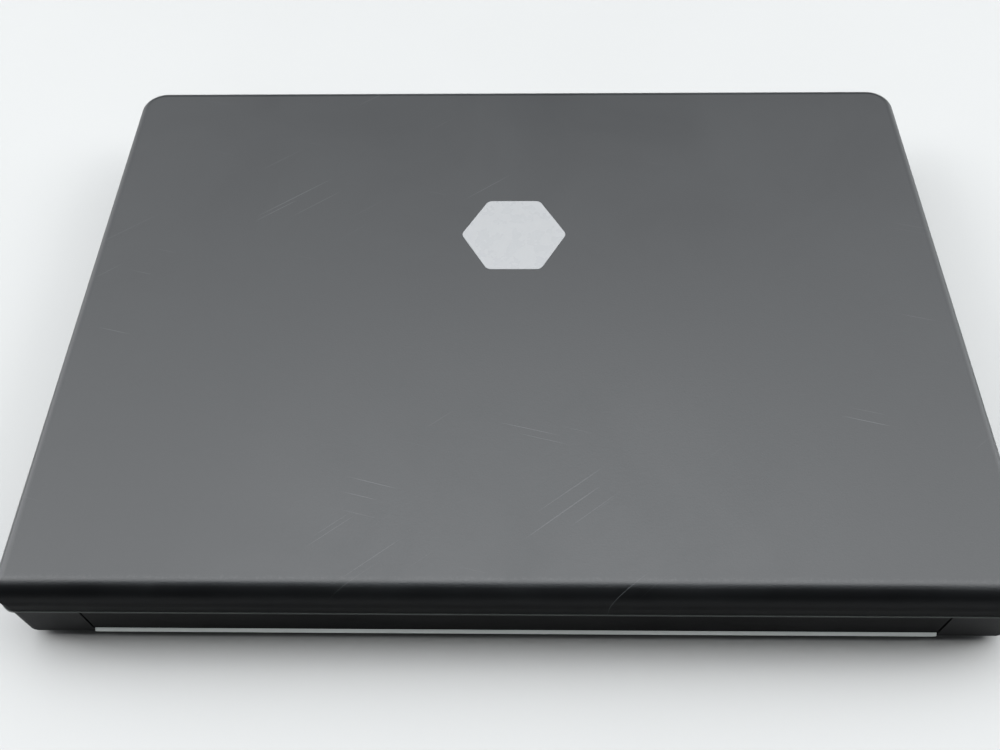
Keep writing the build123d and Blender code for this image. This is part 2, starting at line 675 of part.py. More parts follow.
def base_screws():
    """Cross-head screws from below: the long case screws, then the short cover screws."""
    sizes = [(spot, 2.7, 1.0, screw_tip(spot)) for spot in CASE_SCREWS]
    sizes += [(spot, 2.6, 0.6, 8.0) for spot in COVER_SCREWS]
    screws = []
    for (x, y), z0, head, tip in sizes:
        screw = rod(x, y, z0, z0 + head, 2.4) + rod(x, y, z0 + head, tip, SCREW_R)
        cut = z0 + 0.4
        screws.append(screw - box(x - 1.5, x + 1.5, y - 0.3, y + 0.3, 2, cut)
                      - box(x - 0.3, x + 0.3, y - 1.5, y + 1.5, 2, cut))
    return screws


def rubber_feet():
    feet = []
    for x, y in FEET:
        foot = rod(x, y, 0, FOOT_H, 7.0)
        feet.append(fillet(edges_at(foot, 0.0), 0.8))
    return feet


# ---- build ----
save("lid_cover", lid_cover())
save("lid_badge", lid_badge())
save("display_bezel", display_bezel())
save("bezel_screws", *bezel_screws())
save("lcd_frame", lcd_frame())
save("lcd_screen", lcd_screen())
save("inverter_board", inverter_board())
save("hinge_cover", hinge_cover())
save("hinge_arms", hinge_arm(-1), hinge_arm(1))
save("lid_latch", lid_latch())
save("lid_bumpers", *lid_bumpers())
save("bottom_case", bottom_case())
save("rear_trim", rear_trim())
save("top_case", top_case())
save("switch_cover", switch_cover())
save("keyboard_plate", keyboard_plate())
for row, (index, widths) in ROWS.items():
    save(row, *key_row(index, widths, skip=(4,) if row == "bottom_keys" else ()))
save("space_bar", *key_row(0, ROWS["bottom_keys"][1], skip=(0, 1, 2, 3, 5, 6, 7, 8, 9, 10)))
save("touchpad", touchpad())
save("touchpad_button_left", click_button(-50.7, -12.3) - box(-12.3, -10, -120, -100, 20, 30))
save("touchpad_button_right", click_button(-11.7, 26.7) - box(-14, -11.7, -120, -100, 20, 30))
save("power_button", rod(-80, 99, 23.2, 26.2, 6.0) + rod(-80, 99, 22.2, 23.6, 7.2))
save("mute_button", flanged_button(55.0, 65.0, 96.2, 101.8, 23.2, 26.2, 1.8, 0.6))
save("volume_rocker", volume_rocker())
save("system_board", system_board())
save("processor", processor())
save("heat_sink", heat_sink())
save("fan_housing", fan_housing())
save("fan_rotor", fan_rotor())
save("memory_modules", *memory_modules())
save("wireless_card", wireless_card())
save("hard_drive", hard_drive())
save("drive_shell", drive_shell())
save("optical_tray", optical_tray())
save("disc_spindle", disc_spindle())
save("eject_button", eject_button())
save("card_cage", card_cage())
save("card_blank", card_blank())
save("modem_socket", modem_socket())
save("network_socket", network_socket())
save("usb_sockets", usb_sockets())
save("monitor_socket", monitor_socket())
save("power_socket", power_socket())
save("lock_plate", lock_plate())
save("audio_jacks", *audio_jacks())
save("wireless_switch", wireless_switch())
save("status_lights", *status_lights())
save("speakers", *speakers())
save("hinge_brackets", hinge_bracket(-1), hinge_bracket(1))
save("battery_pack", battery_pack())
save("battery_latch", battery_latch())
save("memory_cover", memory_cover())
save("hard_drive_cover", hard_drive_cover())
save("base_screws", *base_screws())
save("rubber_feet", *rubber_feet())
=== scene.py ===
# %% [markdown]
# # A closed notebook computer, seen from its hinge side
#
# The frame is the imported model: every part of it is already in place, at its real size in
# metres, with X to the user's right, Y towards the hinge and Z up. This script gives each part
# its finish, swaps the plain key caps for dished ones, prints the legends, adds the small
# contacts inside the sockets, and sets up the floor, the light and the camera.

# %% Load the frame
import json
import math

import bpy
import numpy as np
from mathutils import Matrix, Vector


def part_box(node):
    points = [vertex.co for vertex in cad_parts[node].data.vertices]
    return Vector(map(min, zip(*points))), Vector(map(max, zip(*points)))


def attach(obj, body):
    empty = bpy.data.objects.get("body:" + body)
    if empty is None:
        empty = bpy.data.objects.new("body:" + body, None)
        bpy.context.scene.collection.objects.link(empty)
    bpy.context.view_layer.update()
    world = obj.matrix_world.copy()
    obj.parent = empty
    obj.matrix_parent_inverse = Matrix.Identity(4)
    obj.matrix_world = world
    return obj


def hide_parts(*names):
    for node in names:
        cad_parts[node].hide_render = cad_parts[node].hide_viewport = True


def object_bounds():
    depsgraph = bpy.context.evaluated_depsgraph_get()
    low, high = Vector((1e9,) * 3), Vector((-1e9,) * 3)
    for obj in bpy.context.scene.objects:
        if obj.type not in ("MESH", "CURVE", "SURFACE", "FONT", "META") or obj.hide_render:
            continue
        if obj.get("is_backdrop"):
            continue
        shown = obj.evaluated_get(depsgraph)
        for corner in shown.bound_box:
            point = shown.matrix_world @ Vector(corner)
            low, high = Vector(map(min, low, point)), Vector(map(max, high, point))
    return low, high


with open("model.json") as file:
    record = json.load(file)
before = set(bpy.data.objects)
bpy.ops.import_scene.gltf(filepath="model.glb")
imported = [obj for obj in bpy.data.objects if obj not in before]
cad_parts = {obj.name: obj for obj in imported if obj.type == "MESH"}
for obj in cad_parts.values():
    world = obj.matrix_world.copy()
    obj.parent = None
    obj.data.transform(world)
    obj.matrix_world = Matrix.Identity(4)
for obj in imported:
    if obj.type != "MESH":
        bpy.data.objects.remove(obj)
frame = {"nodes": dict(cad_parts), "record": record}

nodes = frame["nodes"]
cad_low, cad_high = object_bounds()
MM = 0.001
print("box in mm", [round(v / MM, 1) for v in (*cad_low, *cad_high)])

# %% [markdown]
# ## The camera first
#
# The computer is looked down on from behind its hinge, at about 56 degrees, with a normal
# lens. The camera is turned by building its three axes: forwards to the point it aims at,
# sideways level with the floor, and up. A small roll tilts the last two about the first.

# %% Camera
CAMERA_AT = Vector((-2.2, 253.0, 356.8)) * MM
CAMERA_AIM = Vector((6.0, 10.4, 0.0)) * MM
CAMERA_ROLL = math.radians(-1.53)
CAMERA_LENS = 35.78


def aimed(place, target, roll=0.0):
    """The matrix of a camera or lamp at place whose -Z axis points at target."""
    forward = (target - place).normalized()
    level = forward.cross(Vector((0, 0, 1))).normalized()
    upright = level.cross(forward)
    right = level * math.cos(roll) + upright * math.sin(roll)
    up = right.cross(forward)
    turn = Matrix((right, up, -forward)).transposed().to_4x4()
    return Matrix.Translation(place) @ turn


lens = bpy.data.cameras.new("camera")
lens.lens = CAMERA_LENS
lens.clip_start = 0.01
camera = bpy.data.objects.new("camera", lens)
bpy.context.scene.collection.objects.link(camera)
camera.matrix_world = aimed(CAMERA_AT, CAMERA_AIM, CAMERA_ROLL)
bpy.context.scene.camera = camera
print("camera at", [round(v, 3) for v in camera.location], "lens", CAMERA_LENS)

# %% [markdown]
# ## The tone curve
#
# A black lid on a pale table spans a wide range of light. The plain display transform shows
# it honestly, and a curve with slightly deeper blacks gives the contrast of a camera. Each
# point pairs a brightness before with the one after; the ends stay where they are.


# %% Tone curve
TONES = [(0.02, 0.009), (0.05, 0.034), (0.12, 0.118), (0.30, 0.31)]


def tone_curve():
    """A plain display transform with slightly deeper blacks, as a camera gives."""
    view = bpy.context.scene.view_settings
    view.view_transform = "Standard"
    view.use_curve_mapping = True
    curve = view.curve_mapping.curves[3]
    for x, y in TONES:
        curve.points.new(x, y)
    view.curve_mapping.update()
    return curve


print("tone points", len(tone_curve().points))

# %% [markdown]
# ## Side lamps
#
# Two soft square lamps, one high on each side, put the light rims on the left and right
# edges of the lid and even out the table. A lamp shines along its own -Z axis, so the same
# matrix that aimed the camera aims it too.

# %% Side lamps
LAMP_OUT, LAMP_UP = 1.30, 1.15       # metres from the middle, and above the table
LAMP_SIDE = 0.6
LAMP_WATTS = 11


def side_lamp(name, x):
    """A square area lamp at (x, 0, LAMP_UP), aimed at the middle of the table."""
    light = bpy.data.lights.new(name, "AREA")
    light.shape = "RECTANGLE"
    light.size, light.size_y = LAMP_SIDE, LAMP_SIDE
    light.energy = LAMP_WATTS
    holder = bpy.data.objects.new(name, light)
    holder.matrix_world = aimed(Vector((x, 0, LAMP_UP)), Vector((0, 0, 0)))
    bpy.context.scene.collection.objects.link(holder)


side_lamp("left_side", -LAMP_OUT)
side_lamp("right_side", LAMP_OUT)

# %% [markdown]
# ## The sky
#
# Most of the light is a sky that is bright high above the front edge of the computer, so the
# flat lid mirrors it towards the camera, most of all near the hinge. Behind the zenith the
# sky is dim, which is why the rounded hinge edge turns almost black. Where the sky itself is
# in view it is a plain pale backdrop.

# %% Sky
SKY_LOW, SKY_HIGH, SKY_REAR, SKY_SIDE = 0.5, 8.2, 0.26, 0.55
SKY_SEEN = 0.90
SKY_TINT = (0.94, 0.97, 1.0, 1)


def room():
    """Brightness by direction: SKY_LOW far in front, SKY_HIGH nearly overhead, SKY_REAR behind
    the zenith, and a share SKY_SIDE of that at the sides; a product of three smooth steps."""
    world = bpy.data.worlds.new("room")
    bpy.context.scene.world = world
    world.use_nodes = True
    tree = world.node_tree
    back = tree.nodes["Background"]
    where = tree.nodes.new("ShaderNodeTexCoord")
    split = tree.nodes.new("ShaderNodeSeparateXYZ")
    tree.links.new(where.outputs["Generated"], split.inputs[0])
    aside = tree.nodes.new("ShaderNodeMath")
    aside.operation = "ABSOLUTE"
    tree.links.new(split.outputs["X"], aside.inputs[0])
    total = None
    for source, start, end, value0, value1 in (
            (split.outputs["Y"], -0.95, -0.25, SKY_LOW, SKY_HIGH),
            (split.outputs["Y"], -0.10, 0.16, 1.0, SKY_REAR / SKY_HIGH),
            (aside.outputs[0], 0.10, 0.60, 1.0, SKY_SIDE)):
        fade = tree.nodes.new("ShaderNodeMapRange")
        fade.interpolation_type = "SMOOTHSTEP"
        for key, number in (("From Min", start), ("From Max", end), ("To Min", value0),
                            ("To Max", value1)):
            fade.inputs[key].default_value = number
        tree.links.new(source, fade.inputs["Value"])
        if total is None:
            total = fade.outputs["Result"]
            continue
        both = tree.nodes.new("ShaderNodeMath")
        both.operation = "MULTIPLY"
        tree.links.new(total, both.inputs[0])
        tree.links.new(fade.outputs["Result"], both.inputs[1])
        total = both.outputs[0]
    seen = tree.nodes.new("ShaderNodeMix")
    tree.links.new(tree.nodes.new("ShaderNodeLightPath").outputs["Is Camera Ray"],
                   seen.inputs[0])
    tree.links.new(total, seen.inputs[2])
    seen.inputs[3].default_value = SKY_SEEN
    tree.links.new(seen.outputs[0], back.inputs["Strength"])
    back.inputs["Color"].default_value = SKY_TINT
    return world


print("sky nodes", len(room().node_tree.nodes))

# %% [markdown]
# ## Finishes
#
# Nearly everything is moulded plastic, so the finishes differ in grain, gloss and wear. Each
# one is a small node graph on Object coordinates, in metres: a scale of 2000 gives grains half
# a millimetre wide. A helper object keeps the graphs short.


# %% A helper that builds node graphs
class Finish:
    """One material: its shader, and a few steps that are wired into it."""

    def __init__(self, name, colour, roughness, metallic=0.0, specular=0.5):
        self.material = bpy.data.materials.new(name)
        self.material.use_nodes = True
        self.tree = self.material.node_tree
        self.shader = self.tree.nodes["Principled BSDF"]
        self.set("Base Color", (*colour, 1))
        self.set("Roughness", roughness)
        self.set("Metallic", metallic)
        self.set("Specular IOR Level", specular)
        self.material.diffuse_color = (*colour, 1)
        self.place = self.node("ShaderNodeTexCoord").outputs["Object"]
        self.normal = None

    def set(self, socket, value):
        """A constant, straight on the shader's own socket."""
        self.shader.inputs[socket].default_value = value

    def node(self, kind, **settings):
        made = self.tree.nodes.new(kind)
        for key, value in settings.items():
            setattr(made, key, value)
        return made

    def wire(self, source, target):
        self.tree.links.new(source, target)

    def stretched(self, scale, turn=0.0):
        """Object coordinates turned about Z, in radians, and then scaled."""
        vector = self.place
        for socket, value in (("Rotation", (0, 0, turn)), ("Scale", scale)):
            step = self.node("ShaderNodeMapping")
            step.inputs[socket].default_value = value
            self.wire(vector, step.inputs["Vector"])
            vector = step.outputs["Vector"]
        return vector

    def noise(self, scale, detail=3.0, rough=0.5, at=None, twist=0.0):
        """Cloudy noise, 0 to 1, with features about 1 / scale metres wide."""
        step = self.node("ShaderNodeTexNoise")
        step.inputs["Scale"].default_value = scale
        step.inputs["Detail"].default_value = detail
        step.inputs["Roughness"].default_value = rough
        step.inputs["Distortion"].default_value = twist
        self.wire(at or self.place, step.inputs["Vector"])
        return step.outputs["Fac"]

    def cells(self, scale, feature="F1", at=None, output="Distance", jitter=1.0):
        """Distance to the nearest of scattered points, or another output of that pattern."""
        step = self.node("ShaderNodeTexVoronoi", feature=feature)
        step.inputs["Scale"].default_value = scale
        step.inputs["Randomness"].default_value = jitter
        self.wire(at or self.place, step.inputs["Vector"])
        return step.outputs[output]

    def span(self, value, low, high, to_low=0.0, to_high=1.0):
        """value from low..high mapped to to_low..to_high, held at the ends."""
        step = self.node("ShaderNodeMapRange")
        for key, number in (("From Min", low), ("From Max", high), ("To Min", to_low),
                            ("To Max", to_high)):
            step.inputs[key].default_value = number
        self.wire(value, step.inputs["Value"])
        return step.outputs["Result"]

    def math(self, how, a, b):
        """One sum of two values; each is a number or a socket."""
        step = self.node("ShaderNodeMath", operation=how)
        for socket, value in zip(step.inputs, (a, b)):
            if isinstance(value, (int, float)):
                socket.default_value = value
            else:
                self.wire(value, socket)
        return step.outputs[0]

    def mix(self, amount, colour_a, colour_b):
        """Colour a where amount is 0, colour b where it is 1."""
        step = self.node("ShaderNodeMix", data_type="RGBA")
        for socket, value in ((step.inputs[0], amount), (step.inputs[6], colour_a),
                              (step.inputs[7], colour_b)):
            if isinstance(value, (int, float)):
                socket.default_value = value
            elif isinstance(value, tuple):
                socket.default_value = (*value, 1)
            else:
                self.wire(value, socket)
        return step.outputs[2]

    def paint(self, colour):
        self.wire(colour, self.shader.inputs["Base Color"])

    def gloss(self, value):
        self.wire(value, self.shader.inputs["Roughness"])

    def relief(self, height, depth):
        """Adds a bump of that depth, in metres, on top of the ones before it."""
        step = self.node("ShaderNodeBump")
        step.inputs["Strength"].default_value = 1.0
        step.inputs["Distance"].default_value = depth
        self.wire(height, step.inputs["Height"])
        if self.normal is not None:
            self.wire(self.normal, step.inputs["Normal"])
        self.normal = step.outputs["Normal"]
        self.wire(self.normal, self.shader.inputs["Normal"])
        return self


def dress(finish, *names):
    """Gives a finish to CAD nodes or to new pieces, by name."""
    for name in names:
        piece = nodes.get(name) or bpy.data.objects[name]
        piece.data.materials.clear()
        piece.data.materials.append(finish.material)


# %% [markdown]
# ### Lid lacquer
#
# The lid is satin black, sprayed over a fine leather-like grain. It isn't new: there are long
# hairline scratches, dull patches where it was handled, and a little dust. Scratches are noise
# stretched very long in one direction and cut off near its peaks; a second, broad noise breaks
# them up so that only a few remain.


# %% Scratches and dust
def scratches(finish, turn, across, along, cut, patch):
    """Hairlines at an angle: stretched noise above a limit, kept only in some patches."""
    line = finish.noise(1.0, 1.0, 0.4, finish.stretched((along, across, 1.0), turn))
    line = finish.span(line, cut, cut + 0.03)
    where = finish.span(finish.noise(patch, 1.0), 0.56, 0.62)
    return finish.math("MULTIPLY", line, where)


def dust(finish, spacing, size, share):
    """Tiny dots seen from above: a disc round each cell's centre, for a share of the cells."""
    flat = finish.stretched((1, 1, 0))
    dot = finish.span(finish.cells(spacing, at=flat), size, size * 0.4)
    keep = finish.node("ShaderNodeSeparateColor")
    finish.wire(finish.cells(spacing, at=flat, output="Color"), keep.inputs[0])
    chosen = finish.math("LESS_THAN", keep.outputs[0], share)
    return finish.math("MULTIPLY", dot, chosen)


# %% [markdown]
# The coat itself: a near black that wanders a little, a gloss that wanders with the smudges,
# and three places that differ. The rim below the top face is duller; along the crest of the
# hinge edge a narrow band is painted lighter, a painted highlight broken up by noise like rubbed
# wear;
# and the thin lip at the bottom is painted pale, a painted highlight where its edge catches the
# light.

# %% Lid lacquer
RIM_TOP, RIM_LOW = 37.5 * MM, 33.5 * MM          # the rim turns dull between these heights
# top of the thin lip at the bottom of the lid, which is painted pale as a painted highlight
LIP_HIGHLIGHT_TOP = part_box("lid_cover")[0].z + 0.85 * MM
LIP_HIGHLIGHT_FADE = 0.1 * MM
CREST_Y = cad_high.y - 8.1 * MM                  # where the hinge edge starts to roll over
# half width of the painted highlight band along the crest
CREST_HIGHLIGHT_HALF = 1.2 * MM

lacquer = Finish("lid_lacquer", (0.004, 0.0044, 0.005), 0.33, specular=0.40)
where = lacquer.node("ShaderNodeSeparateXYZ")
lacquer.wire(lacquer.place, where.inputs[0])
rim = lacquer.span(where.outputs["Z"], RIM_TOP, RIM_LOW)
grain = lacquer.noise(1500, 2.0, 0.55)
brushed = lacquer.noise(1.0, 2.0, 0.6, lacquer.stretched((300, 2600, 2600)))
smudge = lacquer.noise(16, 4.0, 0.6, twist=0.8)
hairs = lacquer.math("ADD", scratches(lacquer, -0.65, 1500, 14, 0.75, 9),
                     scratches(lacquer, 0.25, 1300, 16, 0.76, 12))
specks = lacquer.math("ADD", dust(lacquer, 60, 0.013, 0.14), dust(lacquer, 24, 0.009, 0.20))
# painted highlight: a narrow band along the crest of the hinge edge, broken up by noise like
# rubbed wear
crest_highlight_band = lacquer.math("SUBTRACT", where.outputs["Y"], CREST_Y)
crest_highlight_band = lacquer.span(lacquer.math("ABSOLUTE", crest_highlight_band, 0.0), CREST_HIGHLIGHT_HALF, 0.0)
crest_highlight_and_wear = lacquer.math("MULTIPLY", crest_highlight_band, lacquer.span(lacquer.noise(900, 4.0, 0.75), 0.46, 0.74))
tone = lacquer.mix(lacquer.span(smudge, 0.35, 0.7), (0.0030, 0.0033, 0.0037),
                   (0.0055, 0.0060, 0.0064))
# painted highlight: the crest band is painted lighter, partly as rubbed wear
tone = lacquer.mix(crest_highlight_and_wear, tone, (0.018, 0.018, 0.018))
tone = lacquer.mix(lacquer.math("MULTIPLY", hairs, 0.5), tone, (0.060, 0.062, 0.064))
tone = lacquer.mix(specks, tone, (0.16, 0.16, 0.16))
# painted highlight: the thin lip at the bottom is painted pale, as if its edge caught the light
tone = lacquer.mix(lacquer.span(where.outputs["Z"], LIP_HIGHLIGHT_TOP + LIP_HIGHLIGHT_FADE, LIP_HIGHLIGHT_TOP), tone,
                   (0.085, 0.09, 0.087))
lacquer.paint(tone)
sheen = lacquer.span(smudge, 0.3, 0.7, 0.285, 0.365)
sheen = lacquer.math("ADD", sheen, lacquer.math("MULTIPLY", brushed, 0.04))
sheen = lacquer.math("ADD", sheen, lacquer.math("MULTIPLY", rim, 0.42))
lacquer.gloss(lacquer.math("ADD", sheen, lacquer.math("MULTIPLY", hairs, 0.10)))
lacquer.relief(grain, 0.000030).relief(brushed, 0.000005)
dress(lacquer, "lid_cover")
print("finish", lacquer.material.name, "nodes", len(lacquer.tree.nodes))

# %% [markdown]
# ### Moulded plastics
#
# The base, the hinge cover and the screen surround are black plastic from a spark-eroded
# mould: a fine, even pebble that kills the shine. The palm rest is the same plastic in
# graphite with a finer grain. One function makes them all, with the grain size, the depth and
# the two tones it wanders between.


# %% Moulded plastics
def moulded(name, dark, light, roughness, grain_size=0.45, depth=0.00003, specular=0.45):
    """Plastic from an eroded mould; grain_size in millimetres, depth in metres."""
    finish = Finish(name, dark, roughness, specular=specular)
    pebble = finish.noise(1 / (grain_size * MM), 2.0, 0.55)
    wander = finish.noise(18, 3.0, 0.55)
    finish.paint(finish.mix(finish.span(wander, 0.3, 0.7), dark, light))
    finish.gloss(finish.math("ADD", finish.span(wander, 0.3, 0.7, roughness - 0.04,
                                                roughness + 0.05),
                             finish.math("MULTIPLY", pebble, 0.06)))
    return finish.relief(pebble, depth)


# %% [markdown]
# With that function every plastic is one line: name, dark tone, light tone, gloss, and where
# it differs from the others the grain and the strength of its reflections.

# %% The plastics of this computer
case_black = moulded("case_black", (0.0045, 0.0045, 0.0050), (0.0062, 0.0062, 0.0068), 0.46,
                     specular=0.22)
hinge_black = moulded("hinge_black", (0.0030, 0.0030, 0.0034), (0.0042, 0.0042, 0.0046), 0.46,
                      0.35, specular=0.14)
bezel_black = moulded("bezel_black", (0.012, 0.012, 0.013), (0.017, 0.017, 0.018), 0.50, 0.40)
graphite = moulded("palm_graphite", (0.055, 0.058, 0.062), (0.070, 0.073, 0.078), 0.48, 0.30)
pad_grey = moulded("pad_grey", (0.040, 0.042, 0.045), (0.048, 0.050, 0.054), 0.36, 0.22, 0.00001)
socket_black = moulded("socket_black", (0.009, 0.009, 0.009), (0.014, 0.014, 0.014), 0.40, 0.5)
socket_blue = moulded("socket_blue", (0.006, 0.018, 0.10), (0.008, 0.023, 0.12), 0.42, 0.5)
tray_grey = moulded("tray_grey", (0.10, 0.10, 0.105), (0.12, 0.12, 0.125), 0.45, 0.4)
trim_grey = moulded("trim_grey", (0.66, 0.69, 0.67), (0.72, 0.75, 0.73), 0.38, 0.35)
trim_grey.set("Metallic", 0.35)
module_grey = moulded("module_grey", (0.30, 0.31, 0.32), (0.36, 0.37, 0.38), 0.4, 0.5)
dress(case_black, "bottom_case", "memory_cover", "hard_drive_cover", "battery_pack",
      "battery_latch", "switch_cover", "card_blank", "lid_latch")
dress(hinge_black, "hinge_cover")
dress(bezel_black, "display_bezel")
dress(graphite, "top_case", "touchpad_button_left", "touchpad_button_right")
dress(pad_grey, "touchpad")
dress(socket_black, "modem_socket", "network_socket", "audio_jacks", "power_socket", "speakers",
      "fan_housing", "fan_rotor", "disc_spindle", "processor", "wireless_switch",
      "eject_button", "power_button", "mute_button", "volume_rocker")
dress(socket_blue, "monitor_socket")
dress(tray_grey, "optical_tray")
dress(module_grey, "lcd_frame")
dress(trim_grey, "rear_trim")
plastics = (case_black, hinge_black, bezel_black, graphite, pad_grey, socket_black,
            socket_blue, tray_grey, trim_grey, module_grey)
print("plastics", [plastic.material.name for plastic in plastics])

# %% [markdown]
# ### Metals, rubber, glass and boards
#
# Sheet steel is brushed: noise stretched along one axis, in both the gloss and the relief.
# Rubber is dull and almost black. The screen is off, so it is a dark glossy film with a fine
# anti-glare haze. The boards are green with a faint pattern of tracks.


# %% Metals
def brushed_metal(name, colour, roughness, along=(40, 1600, 1600), metallic=1.0):
    """Metal with fine lines along X: noise that changes slowly in X and fast across it."""
    finish = Finish(name, colour, roughness, metallic=metallic)
    lines = finish.noise(1.0, 2.0, 0.6, finish.stretched(along))
    stain = finish.noise(30, 3.0)
    darker = tuple(0.8 * c for c in colour)
    finish.paint(finish.mix(finish.span(stain, 0.35, 0.65), darker, colour))
    finish.gloss(finish.span(lines, 0.2, 0.8, roughness - 0.06, roughness + 0.10))
    return finish.relief(lines, 0.00001)


steel = brushed_metal("plated_steel", (0.52, 0.52, 0.53), 0.34)
black_screw = brushed_metal("black_screw", (0.05, 0.05, 0.055), 0.38)
cast_metal = brushed_metal("cast_aluminium", (0.56, 0.57, 0.58), 0.42, (500, 500, 500))
copper = brushed_metal("copper", (0.62, 0.30, 0.17), 0.35)
gold = brushed_metal("contact_gold", (0.75, 0.55, 0.22), 0.28, (900, 900, 900))
dress(steel, "hinge_arms", "hinge_brackets", "card_cage", "drive_shell", "usb_sockets",
      "lock_plate", "keyboard_plate")
dress(black_screw, "base_screws", "bezel_screws")
dress(cast_metal, "hard_drive")
dress(copper, "heat_sink")
print("metals", [f.material.name for f in (steel, black_screw, cast_metal, copper, gold)])

# %% [markdown]
# The rest of the base needs four finishes that are neither moulded nor metal: rubber for the
# feet and bumpers, the dark film of the screen, the green boards and the small light pipes.

# %% Rubber, screen, boards and light pipes
rubber = moulded("foot_rubber", (0.010, 0.010, 0.010), (0.020, 0.020, 0.020), 0.82, 0.6)
dress(rubber, "rubber_feet", "lid_bumpers")

film = Finish("screen_film", (0.006, 0.007, 0.009), 0.24, specular=0.5)
haze = film.noise(3200, 1.0)
film.gloss(film.span(haze, 0.3, 0.7, 0.20, 0.30))
film.relief(haze, 0.000004)
dress(film, "lcd_screen")

board = Finish("board_green", (0.012, 0.09, 0.04), 0.42)
tracks = board.cells(260, "DISTANCE_TO_EDGE", jitter=0.35)
board.paint(board.mix(board.span(tracks, 0.03, 0.06), (0.03, 0.17, 0.08), (0.010, 0.07, 0.035)))
board.relief(board.span(tracks, 0.03, 0.06, 1.0, 0.0), 0.00003)
dress(board, "system_board", "memory_modules", "wireless_card", "inverter_board")

pipe = Finish("light_pipe", (0.55, 0.62, 0.60), 0.22)
pipe.set("Transmission Weight", 0.35)
cloud = pipe.noise(900, 2.0)
pipe.paint(pipe.mix(cloud, (0.45, 0.52, 0.50), (0.66, 0.70, 0.68)))
dress(pipe, "status_lights")
print("others", [finish.material.name for finish in (rubber, film, board, pipe)])

# %% [markdown]
# ### The badge
#
# A plain pale hexagon is let into the lid where a maker would put a mark. It is satin plastic
# under a thin clear coat, a little cloudy, and carries nothing else.

# %% Badge
badge = Finish("badge_white", (0.185, 0.187, 0.189), 0.30, specular=0.35)
clouded = badge.noise(160, 3.0)
badge.paint(badge.mix(badge.span(clouded, 0.35, 0.65), (0.182, 0.185, 0.188),
                      (0.192, 0.194, 0.196)))
badge.gloss(badge.span(clouded, 0.3, 0.7, 0.22, 0.34))
badge.set("Coat Weight", 0.15)
badge.set("Coat Roughness", 0.12)
dress(badge, "lid_badge")

# %% [markdown]
# ## Key caps
#
# A notebook's key is a low block with sloping sides, rounded shoulders and a shallow dish
# for the finger. Its surface has two parameters: how far round the outline we are, and how
# far in from the edge. Each step inwards has an inset and a height, so one profile makes
# every cap, whatever its width.

# %% The cap profile
CAP_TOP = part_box("home_letter_keys")[1].z
CAP_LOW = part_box("home_letter_keys")[0].z
DISH = 0.30 * MM
ROUND_STEPS = 6
# inset from the edge and height above the foot, in millimetres, from the foot to the shoulder
CAP_PROFILE = [(0.6, 0.0), (0.0, 0.0), (0.0, 0.55), (0.10, 0.70), (1.05, 1.75), (1.25, 1.95),
               (1.50, 2.10), (1.85, 2.18), (2.30, 2.20)]
SHOULDER, CAP_RISE = (v * MM for v in CAP_PROFILE[-1])
CORNER, CORNER_SHRINK, CORNER_LEAST = 1.3, 0.25, 0.5    # corner radius, its loss per inset, mm
DISH_RINGS = (0.85, 0.66, 0.44, 0.22)                   # shares of the way out from the middle


def rounded_outline(width, depth, radius, steps=ROUND_STEPS):
    """Points anticlockwise round a rectangle centred on 0: in each corner they are the arc's
    centre plus radius times (cos a, sin a), for a quarter turn of a."""
    turn = np.linspace(0, np.pi / 2, steps)
    points = []
    for quarter, (sx, sy) in enumerate(((1, 1), (-1, 1), (-1, -1), (1, -1))):
        angle = turn + quarter * np.pi / 2
        centre = np.array([sx * (width / 2 - radius), sy * (depth / 2 - radius)])
        points.append(centre + radius * np.stack([np.cos(angle), np.sin(angle)], 1))
    return np.concatenate(points)


def dish_depth(x, y, width, depth):
    """Depth of the dish in a cap of that width and depth, at x, y from its middle: DISH times
    one minus the square of the share across, times one minus the sixth power of that along."""
    across = np.clip(1 - (2 * x / (width - 2 * SHOULDER)) ** 2, 0, 1)
    along = np.clip(1 - (2 * y / (depth - 2 * SHOULDER)) ** 6, 0, 1)
    return DISH * across * along


def cap_surface(x0, x1, y0, y1):
    """Rings of one cap from the underside over the shoulder into the dish: each ring is the
    outline less its inset, at its height; in the dish the last ring shrinks to the middle."""
    width, depth = x1 - x0, y1 - y0
    rings = []
    stretch = (CAP_TOP - CAP_LOW) / CAP_RISE
    for inset, height in CAP_PROFILE:
        edge = rounded_outline(width - 2 * inset * MM, depth - 2 * inset * MM,
                               max(CORNER - CORNER_SHRINK * inset, CORNER_LEAST) * MM)
        z = np.full(len(edge), CAP_LOW + height * MM * stretch)
        rings.append(np.column_stack([edge, z]))
    rim = rings[-1][:, :2]
    for share in DISH_RINGS:
        xy = rim * share
        z = CAP_TOP - dish_depth(xy[:, 0], xy[:, 1], width, depth)
        rings.append(np.column_stack([xy, z]))
    grid = np.array(rings)
    grid[..., 0] += (x0 + x1) / 2
    grid[..., 1] += (y0 + y1) / 2
    return grid


# %% [markdown]
# The rings become quads by counting: point j of ring i is number i x columns + j, and the
# point after the last is the first again. One helper puts points and faces into a mesh.


# %% From rings to a mesh
def ring_faces(rows, columns, first):
    """Quads between neighbouring rings; each ring closes on itself."""
    i, j = np.meshgrid(np.arange(rows - 1), np.arange(columns), indexing="ij")
    nxt = (j + 1) % columns
    quads = np.stack([i * columns + j, i * columns + nxt, (i + 1) * columns + nxt,
                      (i + 1) * columns + j], -1)
    return quads.reshape(-1, 4) + first


def mesh_piece(name, points, faces, smooth=True):
    """A new object at the origin whose mesh has those points, in metres, and faces."""
    mesh = bpy.data.meshes.new(name)
    mesh.from_pydata(points.tolist(), [], [list(f) for f in faces])
    mesh.validate()
    mesh.update()
    mesh.polygons.foreach_set("use_smooth", np.full(len(mesh.polygons), smooth))
    piece = bpy.data.objects.new(name, mesh)
    bpy.context.scene.collection.objects.link(piece)
    return piece


# %% [markdown]
# The caps of one row move together, so a row is one piece on that row's body. The widths
# repeat those of the keyboard: a unit is 19 mm and every row is 300 mm long.

